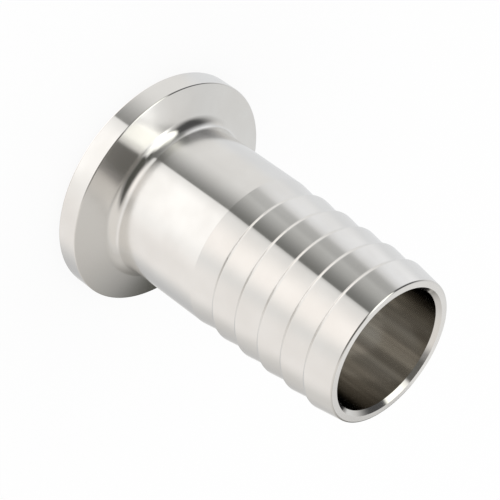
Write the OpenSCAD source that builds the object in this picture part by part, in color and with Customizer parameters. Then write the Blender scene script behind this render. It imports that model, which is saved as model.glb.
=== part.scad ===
// Hose barb adapter with a sanitary clamp flange, turned from one stainless bar.
// It stands on the flange's mating face, bore along +Z, barbed nose upwards.

/* [Clamp flange] */
// Outside diameter of the flange rim
flange_d = 50.5; // [48.5:0.1:54]
// Thickness of the rim at its outside edge
rim_t = 4.75; // [3:0.05:6]
// Slope of the flange's back, where the clamp grips, in degrees
clamp_angle = 16; // [12:1:24]
// Radius of the broken edges of the rim
rim_edge_r = 0.3; // [0.1:0.05:0.6]
// Radius of the fillet that runs from the flange's back into the shank
neck_fillet_r = 2.7; // [1:0.1:4.5]

/* [Gasket groove] */
// Diameter of the middle of the ring groove in the mating face
groove_d = 43.5; // [40:0.1:44]
// Radius of the groove's round bottom
groove_r = 1.6; // [1.2:0.1:2]
// Depth of the groove
groove_depth = 1.5; // [0.5:0.1:2]

/* [Shank and barbs] */
// Outside diameter of the plain shank and of the barbs' crests
shank_d = 33.9; // [33.3:0.1:35]
// Height from the mating face to the end of the plain shank
shank_top = 29.9; // [15:0.1:60]
// Diameter at the foot of each barb
root_d = 32.2; // [31:0.1:32.4]
// Length of the first taper, from the plain shank to the first crest
lead_len = 6.5; // [4:0.1:10]
// Number of crests
crest_count = 5; // [1:1:8]
// Distance from one crest to the next
barb_pitch = 6.3; // [4:0.1:10]
// Length of the last taper, from the last crest to the nose
nose_len = 6.3; // [3:0.1:7]
// Radius that rounds each crest
crest_r = 0.8; // [0.2:0.1:1]
// Radius left by the tool at the foot of each step
root_r = 0.3; // [0.1:0.1:0.4]

/* [Bore] */
// Diameter of the straight bore
bore_d = 27.2; // [20:0.1:27.6]
// Width of the 45 degree chamfer at the nose
nose_chamfer = 0.85; // [0.2:0.05:1]
// Radius of the nose's outer edge
nose_edge_r = 0.4; // [0.1:0.05:0.5]
// Width of the 45 degree chamfer at the mating face
face_chamfer = 0.3; // [0.1:0.1:1]

/* [Hidden] */
flange_r = flange_d / 2;
shank_r = shank_d / 2;
root_rad = root_d / 2;
bore_r = bore_d / 2;
first_crest_z = shank_top + lead_len;
total_h = first_crest_z + (crest_count - 1) * barb_pitch + nose_len;
through = 1;
$fn = 96;

// The outlines below are half sections: X is the radius, Y the height.
// Unit vector square to a surface that leans by an angle from the horizontal
function square_to(lean) = [sin(lean), cos(lean)];
// Centre of a circle of radius r in a corner of vertical wall x and a slope
// that leans by lean and passes through p; side is 1 outside the metal, -1 inside
function corner_centre(p, lean, r, side) =
    [p[0] + side * r, p[1] + side * r * (1 - sin(lean)) / cos(lean)];
// Point where a line from p touches, on its outer side, a circle round c
function touch_point(p, c, r) =
    let (gap = p - c, far = norm(gap), toward = atan2(gap[1], gap[0]) - acos(r / far))
    c + r * [cos(toward), sin(toward)];

// Flange: gasket face, rim with broken edges and sloping clamp face
back_corner = [flange_r, rim_t];
back_centre = corner_centre(back_corner, clamp_angle, rim_edge_r, -1);
neck_corner = [shank_r, rim_t + (flange_r - shank_r) * tan(clamp_angle)];
neck_centre = corner_centre(neck_corner, clamp_angle, neck_fillet_r, 1);

module flange_section() {
    front_centre = [flange_r - rim_edge_r, rim_edge_r];
    union() {
        polygon([
            [0, 0], [front_centre[0], 0], front_centre, [flange_r, rim_edge_r],
            [flange_r, back_centre[1]], back_centre,
            back_centre + rim_edge_r * square_to(clamp_angle),
            neck_corner, [0, neck_corner[1]]
        ]);
        translate(front_centre) circle(rim_edge_r);
        translate(back_centre) circle(rim_edge_r);
    }
}

// Web that fills an inside corner and is hollowed by a round of radius r, which
// touches both walls, at a and then, anticlockwise, at b. Its back is sunk in metal.
module web(corner, centre, r, a, b) {
    difference() {
        polygon([a, centre, b, 2 * corner - centre]);
        translate(centre) circle(r);
    }
}

// Fillet between the flange's back and the shank
module neck_section() {
    web(neck_corner, neck_centre, neck_fillet_r,
        neck_centre - neck_fillet_r * square_to(clamp_angle), [shank_r, neck_centre[1]]);
}

// One barb, with its widest point at height 0: a flat step below it, a round
// that touches the step and the crest diameter, and a taper up to the given height
step_z = -crest_r;
crest_centre = [shank_r - crest_r, 0];
taper_foot = [root_rad, barb_pitch - crest_r];
taper_touch = touch_point(taper_foot, crest_centre, crest_r);
taper_lean = atan2(taper_touch[0] - taper_foot[0], taper_foot[1] - taper_touch[1]);
function taper_at(height) = taper_foot + (height - taper_foot[1]) * [-tan(taper_lean), 1];

module barb_section(height) {
    union() {
        polygon([
            [0, step_z], [crest_centre[0], step_z], crest_centre, taper_touch,
            taper_at(height), [0, height]
        ]);
        translate(crest_centre) circle(crest_r);
    }
}

// First taper: it leaves the plain shank without a step
lead_foot = [root_rad, lead_len - crest_r];
lead_lean = atan2(shank_r - root_rad, lead_foot[1]);

module lead_section() {
    polygon([[0, 0], [shank_r, 0], lead_foot, [0, lead_foot[1]]]);
}

// Small round left by the tool where a taper that leans by lean meets the next step
module root_section(lean) {
    foot = [root_rad, step_z];
    centre = foot + root_r * [(1 + sin(lean)) / cos(lean), -1];
    web(foot, centre, root_r, centre - root_r * [cos(lean), sin(lean)], [centre[0], step_z]);
}

// Corner that is turned away at the nose, outside its small round
module nose_edge_waste() {
    corner = taper_at(nose_len);
    centre = corner - nose_edge_r * [(1 - sin(taper_lean)) / cos(taper_lean), 1];
    difference() {
        polygon([
            centre, centre + through * [cos(taper_lean), sin(taper_lean)],
            corner + [through, through], [centre[0], corner[1] + through]
        ]);
        translate(centre) circle(nose_edge_r);
    }
}

// Bore with a chamfer at each end, and the gasket's ring groove
module waste_section() {
    translate([0, -through]) square([bore_r, total_h + 2 * through]);
    polygon([[0, 0], [bore_r + face_chamfer, 0], [bore_r, face_chamfer], [0, face_chamfer]]);
    polygon([
        [0, total_h], [bore_r + nose_chamfer, total_h],
        [bore_r, total_h - nose_chamfer], [0, total_h - nose_chamfer]
    ]);
    translate([groove_d / 2, groove_depth - groove_r]) circle(groove_r);
    translate([0, total_h - nose_len]) nose_edge_waste();
}

module adapter_section() {
    difference() {
        union() {
            flange_section();
            neck_section();
            square([shank_r, shank_top]);
            translate([0, shank_top]) lead_section();
            for (i = [1:crest_count]) translate([0, first_crest_z + (i - 1) * barb_pitch]) {
                root_section(i == 1 ? lead_lean : taper_lean);
                barb_section(i < crest_count ? barb_pitch : nose_len);
            }
        }
        waste_section();
    }
}

module adapter() {
    color("silver") rotate_extrude() adapter_section();
}

adapter();
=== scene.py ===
# Hose barb adapter with a clamp flange, turned stainless steel, on a white sweep.
# It stands on its flange as in the CAD frame, and the camera is rolled as in the photo.
import math

import bmesh
import bpy
from mathutils import Matrix, Vector


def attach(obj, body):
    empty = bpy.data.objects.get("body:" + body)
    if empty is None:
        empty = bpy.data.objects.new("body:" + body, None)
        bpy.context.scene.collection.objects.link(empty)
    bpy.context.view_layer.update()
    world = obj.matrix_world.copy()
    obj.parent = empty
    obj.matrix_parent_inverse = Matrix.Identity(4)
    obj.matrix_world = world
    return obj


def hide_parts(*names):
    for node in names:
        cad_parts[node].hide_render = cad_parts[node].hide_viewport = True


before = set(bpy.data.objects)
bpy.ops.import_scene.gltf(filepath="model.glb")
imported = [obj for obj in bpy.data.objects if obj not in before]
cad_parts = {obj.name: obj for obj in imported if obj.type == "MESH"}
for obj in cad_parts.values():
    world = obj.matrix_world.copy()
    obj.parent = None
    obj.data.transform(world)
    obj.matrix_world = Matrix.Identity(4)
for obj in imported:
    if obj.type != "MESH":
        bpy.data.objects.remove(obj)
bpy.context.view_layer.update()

# Adapter: one piece of stainless bar. The outside, the flange and the barbs are turned
# on a lathe and polished, and the bore is drilled through and chamfered at both ends.
# Heights run up from the mating face, which has a ring groove for the gasket. In mm.
mm = 0.001
flange_r, rim_t, rim_edge_r = 25.25, 4.75, 0.3
clamp_lean, neck_fillet_r = math.radians(16), 2.7
groove_mid_r, groove_r, groove_depth = 21.75, 1.6, 1.5
shank_r, shank_top = 16.95, 29.9
barb_foot_r, crest_r, root_r = 16.1, 0.8, 0.3
lead_length, crest_count, barb_pitch, nose_length = 6.5, 5, 6.3, 6.3
bore_r, nose_chamfer, nose_edge_r, face_chamfer = 13.6, 0.85, 0.4, 0.3
first_crest_z = shank_top + lead_length
total_height = first_crest_z + (crest_count - 1) * barb_pitch + nose_length

# The half outline is drawn as a lathe tool would follow it: straight cuts and arcs.
# Each straight cut has an extra point near both ends, which keeps its shading flat.
flat_margin, largest_margin_share = 0.03, 0.3
arc_step, fewest_arc_steps = math.radians(8), 3
outline = bmesh.new()
tool = outline.verts.new((bore_r, 0, face_chamfer))


def cut_to(tool, x, z):
    start, end = tool.co.copy(), Vector((x, 0, z))
    margin = min(flat_margin / (end - start).length, largest_margin_share)
    for share in (margin, 1 - margin, 1):
        tool = bmesh.ops.extrude_vert_indiv(outline, verts=[tool])["verts"][0]
        tool.co = start.lerp(end, share)
    return tool


def turn_about(tool, x, z, angle):
    last = bmesh.ops.spin(
        outline, geom=[tool], cent=(x, 0, z), axis=(0, 1, 0), dvec=(0, 0, 0), angle=-angle,
        steps=max(fewest_arc_steps, math.ceil(abs(angle) / arc_step)))["geom_last"]
    return next(v for v in last if isinstance(v, bmesh.types.BMVert))


# Mating face with its groove, then the rim and the sloping back
groove_z = groove_depth - groove_r
groove_half = math.sqrt(groove_r ** 2 - groove_z ** 2)
groove_half_angle = math.acos(-groove_z / groove_r)
back_z = rim_t - rim_edge_r * (1 - math.sin(clamp_lean)) / math.cos(clamp_lean)
tool = cut_to(tool, bore_r + face_chamfer, 0)
tool = cut_to(tool, groove_mid_r - groove_half, 0)
tool = turn_about(tool, groove_mid_r, groove_z, groove_half_angle * -2)
tool = cut_to(tool, flange_r - rim_edge_r, 0)
tool = turn_about(tool, flange_r - rim_edge_r, rim_edge_r, math.pi / 2)
tool = cut_to(tool, flange_r, back_z)
tool = turn_about(tool, flange_r - rim_edge_r, back_z, math.pi / 2 - clamp_lean)

# Fillet into the plain shank, and the shank up to the first taper
slope = Vector((math.sin(clamp_lean), 0, math.cos(clamp_lean)))
neck_z = rim_t + (flange_r - shank_r) * math.tan(clamp_lean)
neck_centre = Vector((
    shank_r + neck_fillet_r, 0,
    neck_z + neck_fillet_r * (1 - math.sin(clamp_lean)) / math.cos(clamp_lean)))
neck_start = neck_centre - slope * neck_fillet_r
tool = cut_to(tool, neck_start.x, neck_start.z)
tool = turn_about(tool, neck_centre.x, neck_centre.z, clamp_lean - math.pi / 2)
tool = cut_to(tool, shank_r, shank_top)

# First taper, which leaves the shank without a step, and the small round at its foot
lead_lean = math.atan2(shank_r - barb_foot_r, lead_length - crest_r)


def foot_of_taper(tool, lean, step_z):
    centre = Vector((barb_foot_r + root_r * (1 + math.sin(lean)) / math.cos(lean), 0,
                     step_z - root_r))
    tool = cut_to(tool, centre.x - root_r * math.cos(lean), centre.z - root_r * math.sin(lean))
    return turn_about(tool, centre.x, centre.z, lean - math.pi / 2)


tool = foot_of_taper(tool, lead_lean, first_crest_z - crest_r)

# Barbs: each has a flat step, a round crest and a taper down to the next step
reach = Vector((barb_foot_r - shank_r + crest_r, barb_pitch - crest_r))
taper_lean = math.atan2(reach.y, reach.x) - math.acos(crest_r / reach.length)
for i in range(crest_count):
    crest_z = first_crest_z + i * barb_pitch
    tool = cut_to(tool, shank_r - crest_r, crest_z - crest_r)
    tool = turn_about(tool, shank_r - crest_r, crest_z, math.pi / 2 + taper_lean)
    if i < crest_count - 1:
        tool = foot_of_taper(tool, taper_lean, crest_z + barb_pitch - crest_r)

# Nose: the last taper ends in a small round, a flat ring and the bore's chamfer
nose_r = barb_foot_r - (nose_length - barb_pitch + crest_r) * math.tan(taper_lean)
nose_centre = Vector((
    nose_r - nose_edge_r * (1 - math.sin(taper_lean)) / math.cos(taper_lean), 0,
    total_height - nose_edge_r))
tool = cut_to(tool, nose_centre.x + nose_edge_r * math.cos(taper_lean),
              nose_centre.z + nose_edge_r * math.sin(taper_lean))
tool = turn_about(tool, nose_centre.x, nose_centre.z, math.pi / 2 - taper_lean)
tool = cut_to(tool, bore_r + nose_chamfer, total_height)
tool = cut_to(tool, bore_r, total_height - nose_chamfer)
tool = cut_to(tool, bore_r, face_chamfer)

# The outline is closed, turned once round the axis and shaded smooth except at corners
turn_steps = 360
weld_gap = mm * 0.001
corner_angle = math.radians(30)
bmesh.ops.scale(outline, vec=(mm, mm, mm), verts=outline.verts)
bmesh.ops.remove_doubles(outline, verts=outline.verts, dist=weld_gap)
bmesh.ops.spin(
    outline, geom=outline.verts[:] + outline.edges[:], cent=(0, 0, 0), axis=(0, 0, 1),
    dvec=(0, 0, 0), angle=math.tau, steps=turn_steps, use_merge=True)
bmesh.ops.remove_doubles(outline, verts=outline.verts, dist=weld_gap)
bmesh.ops.recalc_face_normals(outline, faces=outline.faces)
for face in outline.faces:
    face.smooth = True
for edge in outline.edges:
    edge.smooth = edge.calc_face_angle(0) < corner_angle
adapter_mesh = bpy.data.meshes.new("adapter_turned")
outline.to_mesh(adapter_mesh)
outline.free()
adapter = bpy.data.objects.new("adapter_turned", adapter_mesh)
bpy.context.collection.objects.link(adapter)

# Finish: bright turned stainless with very fine tool lines round the axis, which blur
# what it mirrors along the axis only. The bore's colour is darker as painted shade, with
# streaks along it, partly drawn marks and partly painted shade and light, which blur what it
# mirrors sideways.
steel = bpy.data.materials.new("turned_stainless")
steel.use_nodes = True
nodes, links = steel.node_tree.nodes, steel.node_tree.links
shader = nodes["Principled BSDF"]
shader.inputs["Metallic"].default_value = 1
shader.inputs["Anisotropic"].default_value = 0.9
blur_along_axis, blur_round_axis = 0.25, 0.0
bore_finish_ends, outside_finish_starts = (bore_r + 0.02) * mm, (bore_r + 0.06) * mm
tool_line_strength = 0.12
bright_rough, dull_rough, bore_rough = 0.105, 0.135, 0.08
bright_steel, dull_steel = (0.855, 0.847, 0.834), (0.825, 0.813, 0.796)
# Bore streak colours: partly drawn streaks, and both darker than the outside as painted shade
dark_streak_painted_shade, light_streak_painted_shade = (0.61, 0.595, 0.57), (0.785, 0.77, 0.74)
# The bore's grey edge tint dims its grazing reflections as painted shade
white, bore_edge_painted_shade = (1, 1, 1), (0.35, 0.35, 0.35)


# These helpers add nodes to the tree that nodes and links were last set to
def node(kind, **settings):
    made = nodes.new("ShaderNode" + kind)
    for name, value in settings.items():
        setattr(made, name, value)
    return made


def maths(operation, first, second=0.0):
    made = node("Math", operation=operation)
    for socket, value in zip(made.inputs, (first, second)):
        if isinstance(value, bpy.types.NodeSocket):
            links.new(value, socket)
        else:
            socket.default_value = value
    return made.outputs[0]


def spread(value, from_low, from_high, to_low, to_high):
    made = node("MapRange", interpolation_type="SMOOTHSTEP")
    links.new(value, made.inputs["Value"])
    for name, limit in (("From Min", from_low), ("From Max", from_high),
                        ("To Min", to_low), ("To Max", to_high)):
        if isinstance(limit, bpy.types.NodeSocket):
            links.new(limit, made.inputs[name])
        else:
            made.inputs[name].default_value = limit
    return made.outputs["Result"]


def blend(share, first, second):
    made = node("Mix", data_type="RGBA")
    links.new(share, made.inputs["Factor"])
    for name, colour in (("A", first), ("B", second)):
        if isinstance(colour, bpy.types.NodeSocket):
            links.new(colour, made.inputs[name])
        else:
            made.inputs[name].default_value = (*colour, 1)
    return made.outputs["Result"]


spot = node("TexCoord").outputs["Object"]
spot_parts = node("SeparateXYZ")
links.new(spot, spot_parts.inputs[0])
spot_x, spot_y, spot_z = spot_parts.outputs
radius = maths("SQRT", maths("ADD", maths("MULTIPLY", spot_x, spot_x),
                             maths("MULTIPLY", spot_y, spot_y)))
in_bore = spread(radius, bore_finish_ends, outside_finish_starts, 1.0, 0.0)
round_axis = node("Tangent", direction_type="RADIAL", axis="Z")
links.new(round_axis.outputs[0], shader.inputs["Tangent"])
links.new(spread(in_bore, 0.0, 1.0, blur_along_axis, blur_round_axis),
          shader.inputs["Anisotropic Rotation"])

# Tool lines follow height and radius only, so they run right round
rings = node("CombineXYZ")
links.new(radius, rings.inputs[0])
links.new(spot_z, rings.inputs[1])
tool_lines = node("TexNoise", noise_dimensions="2D")
tool_lines.inputs["Scale"].default_value = 2600
tool_lines.inputs["Detail"].default_value = 3
links.new(rings.outputs[0], tool_lines.inputs["Vector"])
bump = node("Bump")
bump.inputs["Distance"].default_value = 0.00002
links.new(spread(in_bore, 0.0, 1.0, tool_line_strength, 0.0), bump.inputs["Strength"])
links.new(tool_lines.outputs["Fac"], bump.inputs["Height"])
links.new(bump.outputs[0], shader.inputs["Normal"])

# The polish outside varies a little from place to place
polish = node("TexNoise")
polish.inputs["Scale"].default_value = 120
polish.inputs["Detail"].default_value = 4
links.new(spot, polish.inputs["Vector"])
outside_rough = spread(polish.outputs["Fac"], 0.3, 0.7, bright_rough, dull_rough)
links.new(spread(in_bore, 0.0, 1.0, outside_rough, bore_rough), shader.inputs["Roughness"])
outside_tint = blend(spread(polish.outputs["Fac"], 0.3, 0.7, 0.0, 1.0), bright_steel, dull_steel)

# Streaks follow X and Y only, so they run straight along the bore. They are partly drawn marks
# and partly painted shade and light, and both their colours are painted shade.
across_bore = node("CombineXYZ")
links.new(spot_x, across_bore.inputs[0])
links.new(spot_y, across_bore.inputs[1])
streak_and_shade_noise = node("TexNoise", noise_dimensions="2D")
streak_and_shade_noise.inputs["Scale"].default_value = 230
streak_and_shade_noise.inputs["Detail"].default_value = 1.5
links.new(across_bore.outputs[0], streak_and_shade_noise.inputs["Vector"])
bore_painted_shade_tint = blend(spread(streak_and_shade_noise.outputs["Fac"], 0.35, 0.65, 0.0, 1.0),
                  dark_streak_painted_shade, light_streak_painted_shade)
# The bore takes its painted-shade streak colours, and the outside its polish tone
links.new(blend(in_bore, outside_tint, bore_painted_shade_tint), shader.inputs["Base Color"])
# Painted shade: the grey edge tint dims the bore's grazing reflections
links.new(blend(in_bore, white, bore_edge_painted_shade), shader.inputs["Specular Tint"])
adapter.data.materials.append(steel)
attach(adapter, "root")
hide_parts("adapter")

# Floor: a wide white table sweep, lit evenly and with the faint shadow of the flange.
# The steel doesn't mirror it, because the studio below has its own table.
floor_half_width = 6
floor_mesh = bpy.data.meshes.new("floor")
sheet = bmesh.new()
bmesh.ops.create_grid(sheet, x_segments=1, y_segments=1, size=floor_half_width)
sheet.to_mesh(floor_mesh)
sheet.free()
floor = bpy.data.objects.new("floor", floor_mesh)
bpy.context.collection.objects.link(floor)
floor.visible_glossy = False
paper = bpy.data.materials.new("white_paper")
paper.use_nodes = True
nodes, links = paper.node_tree.nodes, paper.node_tree.links
matt = nodes["Principled BSDF"]
matt.inputs["Base Color"].default_value = (0.97, 0.97, 0.97, 1)
matt.inputs["Roughness"].default_value = 1
matt.inputs["Specular IOR Level"].default_value = 0
glow = node("Emission")
glow_share = 0.85
lift = node("MixShader")
links.new(maths("MULTIPLY", node("LightPath").outputs["Is Camera Ray"], glow_share),
          lift.inputs[0])
links.new(matt.outputs[0], lift.inputs[1])
links.new(glow.outputs[0], lift.inputs[2])
links.new(lift.outputs[0], nodes["Material Output"].inputs["Surface"])
floor_mesh.materials.append(paper)

# Studio: the room that the polished steel mirrors, painted by direction. Azimuth 0 is
# towards the camera and grows to the object's +X side; elevation is up. In degrees.
world = bpy.data.worlds.new("studio")
bpy.context.scene.world = world
world.use_nodes = True
nodes, links = world.node_tree.nodes, world.node_tree.links
way_parts = node("SeparateXYZ")
links.new(node("TexCoord").outputs["Generated"], way_parts.inputs[0])
way_x, way_y, way_z = way_parts.outputs
to_degrees = 180 / math.pi
azimuth = maths("MULTIPLY", maths("ARCTAN2", way_x, maths("MULTIPLY", way_y, -1.0)), to_degrees)
elevation = maths("MULTIPLY", maths("ARCSINE", way_z), to_degrees)


# One panel of the room, which hides what is behind it. Each edge says where its middle
# is and how wide its blur is, and a third number slants a side as it rises. A panel has
# no end where no edge is given.
def panel(behind, colour, left=None, right=None, low=None, high=None):
    share = 1.0
    for across, edge, beyond in ((azimuth, left, 1.0), (azimuth, right, 0.0),
                                 (elevation, low, 1.0), (elevation, high, 0.0)):
        if edge is None:
            continue
        middle, blur, *slant = edge
        if slant:
            across = maths("ADD", azimuth, maths("MULTIPLY", elevation, slant[0]))
        step = spread(across, middle - blur / 2, middle + blur / 2, 1.0 - beyond, beyond)
        share = maths("MULTIPLY", step, share)
    return blend(share, behind, colour)


# White table under the camera, on the room's pale grey
seen = node("RGB").outputs[0]
seen.default_value = (0.85, 0.84, 0.82, 1)
seen = panel(seen, (1.5, 1.43, 1.37), high=(-62, 24))
# Cool light from the left on the table, and warm light from the right
seen = panel(seen, (0.79, 0.8, 0.81), right=(-115, 30), low=(-45, 10), high=(-5, 10))
seen = panel(seen, (0.93, 0.9, 0.87),
             left=(52, 25), right=(115, 25), low=(-45, 8), high=(-8, 8))
# Duller strip of the table in front
seen = panel(seen, (0.55, 0.53, 0.5),
             left=(30, 22), right=(88, 46), low=(-70, 2), high=(-41, 1))
# Lit table in front
seen = panel(seen, (1.45, 1.42, 1.38),
             left=(-22, 27), right=(50, 60), low=(-39, 12), high=(-31, 18))
# Lit wall behind the camera
seen = panel(seen, (1.13, 1.08, 1.03),
             left=(-8, 37), right=(32, 30), low=(-20, 4), high=(24, 14))
# Table behind on the right
seen = panel(seen, (0.57, 0.57, 0.57),
             left=(122, 46), right=(165, 22), low=(-54, 11), high=(-22, 2))
# Warm grey wall on the right, and its further part
seen = panel(seen, (0.79, 0.76, 0.72),
             left=(34, 8), right=(110, 18), low=(-4, 14), high=(83, 12))
seen = panel(seen, (0.62, 0.6, 0.57),
             left=(112, 36), right=(159, 14), low=(-23, 22), high=(85, 12))
# Unlit corner behind
seen = panel(seen, (0.05, 0.05, 0.04),
             left=(150, 46), right=(179, 2), low=(-16, 9), high=(30, 50))
# Pale wall behind on the left
seen = panel(seen, (0.74, 0.74, 0.73),
             left=(-177, 13), right=(-137, 9), low=(-8, 14), high=(47, 18))
# Low lamp on the left
seen = panel(seen, (1.29, 1.3, 1.32),
             left=(-119, 28), right=(-82, 27), low=(-20, 11), high=(11, 6))
# Unlit room on the left, and a grey curtain before it
seen = panel(seen, (0.07, 0.07, 0.07),
             left=(-123, 44, 0.3), right=(-65, 9, 0.3), low=(-7, 60), high=(56, 25))
seen = panel(seen, (0.19, 0.2, 0.19),
             left=(-77, 10), right=(-23, 9, -0.1), low=(-10, 54), high=(12, 23))
# Large soft box above on the left: its top, and its slanted front
seen = panel(seen, (2.0, 2.0, 1.95),
             left=(-162, 17), right=(-55, 14), low=(63, 8), high=(79, 4))
seen = panel(seen, (1.46, 1.46, 1.35),
             left=(-57, 8, 0.6), right=(-38, 43), low=(4, 51), high=(67, 6))
# Unlit ceiling above the camera, and the camera's own dark shape in two parts
seen = panel(seen, (0.28, 0.27, 0.26),
             left=(-6, 9, 0.4), right=(52, 24), low=(9, 28), high=(80, 11))
seen = panel(seen, (0.08, 0.08, 0.07),
             left=(-5, 2, 0.35), right=(65, 9, 0.6), low=(21, 17), high=(67, 20))
seen = panel(seen, (0.09, 0.09, 0.08),
             left=(-34, 14), right=(-10, 24), low=(2, 27), high=(41, 15))
# Black flag that stands on the left, its right edge sharp
seen = panel(seen, (0.17, 0.17, 0.16),
             left=(-47, 48), right=(-24.5, 2, -0.12), low=(-39, 1), high=(22, 14))
# Light from behind, above the nose
seen = panel(seen, (0.94, 0.93, 0.92), left=(164, 10), low=(28, 21), high=(53, 19))
# Dull ceiling straight above
seen = panel(seen, (0.15, 0.14, 0.12), low=(74, 30))

# Only what the steel mirrors sees the panels; the rest is lit by an even white
mirrored = node("Background")
links.new(seen, mirrored.inputs["Color"])
plain = node("Background")
plain.inputs["Color"].default_value = (1, 1, 1, 1)
choose = node("MixShader")
links.new(node("LightPath").outputs["Is Glossy Ray"], choose.inputs[0])
links.new(plain.outputs[0], choose.inputs[1])
links.new(mirrored.outputs[0], choose.inputs[2])
output = next(n for n in nodes if n.type == "OUTPUT_WORLD")
links.new(choose.outputs[0], output.inputs["Surface"])

# Camera: a long lens from above the front, rolled so that the nose points down right
camera_place = Vector((-0.000233, -0.407289, 0.279014))
camera_look = Vector((0, 0.85217, -0.52327))
camera_roll = math.radians(125.748)
camera_data = bpy.data.cameras.new("camera")
camera_data.sensor_width = 36
camera_data.lens = 172.27
camera_data.clip_end = 20
camera = bpy.data.objects.new("camera", camera_data)
bpy.context.collection.objects.link(camera)
level = camera_look.to_track_quat("-Z", "Y").to_matrix().to_4x4()
roll = Matrix.Rotation(camera_roll, 4, "Z")
camera.matrix_world = Matrix.Translation(camera_place) @ level @ roll
bpy.context.scene.camera = camera

# Picture: light has to bounce many times to leave the bore, and none is dropped early
bounces_to_leave_bore = 16
scene = bpy.context.scene
scene.view_settings.view_transform = "Standard"
scene.render.filter_size = 1.0
scene.cycles.max_bounces = bounces_to_leave_bore
scene.cycles.glossy_bounces = bounces_to_leave_bore
scene.cycles.min_light_bounces = bounces_to_leave_bore
